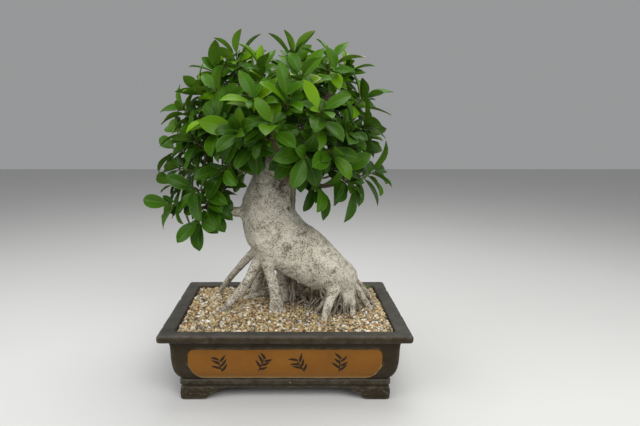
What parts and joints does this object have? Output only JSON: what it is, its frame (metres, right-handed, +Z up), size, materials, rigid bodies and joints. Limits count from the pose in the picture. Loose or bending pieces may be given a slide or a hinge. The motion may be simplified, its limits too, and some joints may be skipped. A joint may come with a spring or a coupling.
{
  "type": "chinese banyan bonsai",
  "caption": "Chinese banyan bonsai: a pale leaning trunk on aerial roots with a domed crown of glossy leaves, growing in grit in a shallow rectangular clay pot on bracket feet.",
  "frame": {"origin": "on the surface that the pot's feet stand on, under the middle of the whole outline", "axes": "+Z up, -Y to the front of the pot with the glazed panel, +X to the right as seen from the front"},
  "size_m": [0.4392, 0.3646, 0.5997],
  "materials": {
    "pot_clay": "unglazed dark grey-brown stoneware, matte, with fine grain and small chips",
    "panel_glaze": "ochre glaze, satin, slightly uneven",
    "grit": "loose angular grit, 3 to 5 mm, tan, white, grey and rust",
    "bark": "smooth pale grey-beige bark with dark specks",
    "drain_screen": "dark plastic mesh",
    "young_leaf": "bright yellow-green living leaf, satin",
    "grown_leaf": "dark green living leaf, leathery, glossy upper side"
  },
  "bodies": {
    "root": {"pot": "pot_clay", "panel_glaze": "panel_glaze", "drain_screen_left": "drain_screen", "drain_screen_right": "drain_screen", "trunk": "bark", "soil_grit": "grit", "leafy_shoot_01": "young_leaf", "leafy_shoot_02": "young_leaf", "leafy_shoot_03": "young_leaf", "leafy_shoot_04": "young_leaf", "leafy_shoot_05": "young_leaf", "leafy_shoot_06": "young_leaf", "leafy_shoot_07": "young_leaf", "leafy_shoot_08": "grown_leaf", "leafy_shoot_09": "young_leaf", "leafy_shoot_10": "young_leaf", "leafy_shoot_11": "young_leaf", "leafy_shoot_12": "young_leaf", "leafy_shoot_13": "grown_leaf", "leafy_shoot_14": "grown_leaf", "leafy_shoot_15": "grown_leaf", "leafy_shoot_16": "grown_leaf", "leafy_shoot_17": "grown_leaf", "leafy_shoot_18": "young_leaf", "leafy_shoot_19": "grown_leaf", "leafy_shoot_20": "grown_leaf", "leafy_shoot_21": "grown_leaf", "leafy_shoot_22": "grown_leaf", "leafy_shoot_23": "grown_leaf", "leafy_shoot_24": "grown_leaf", "leafy_shoot_25": "grown_leaf", "leafy_shoot_26": "grown_leaf", "leafy_shoot_27": "grown_leaf", "leafy_shoot_28": "grown_leaf", "leafy_shoot_29": "grown_leaf", "leafy_shoot_30": "grown_leaf", "leafy_shoot_31": "grown_leaf", "leafy_shoot_32": "grown_leaf", "leafy_shoot_33": "grown_leaf", "leafy_shoot_34": "grown_leaf", "leafy_shoot_35": "grown_leaf", "leafy_shoot_36": "grown_leaf", "leafy_shoot_37": "grown_leaf", "leafy_shoot_38": "grown_leaf", "leafy_shoot_39": "grown_leaf", "leafy_shoot_40": "young_leaf", "leafy_shoot_41": "young_leaf", "leafy_shoot_42": "young_leaf", "leafy_shoot_43": "young_leaf", "leafy_shoot_44": "young_leaf", "leafy_shoot_45": "young_leaf", "leafy_shoot_46": "grown_leaf", "leafy_shoot_47": "grown_leaf", "leafy_shoot_48": "grown_leaf", "leafy_shoot_49": "grown_leaf", "leafy_shoot_50": "grown_leaf", "leafy_shoot_51": "grown_leaf", "leafy_shoot_52": "grown_leaf", "leafy_shoot_53": "grown_leaf", "leafy_shoot_54": "grown_leaf"}
  },
  "joints": []
}
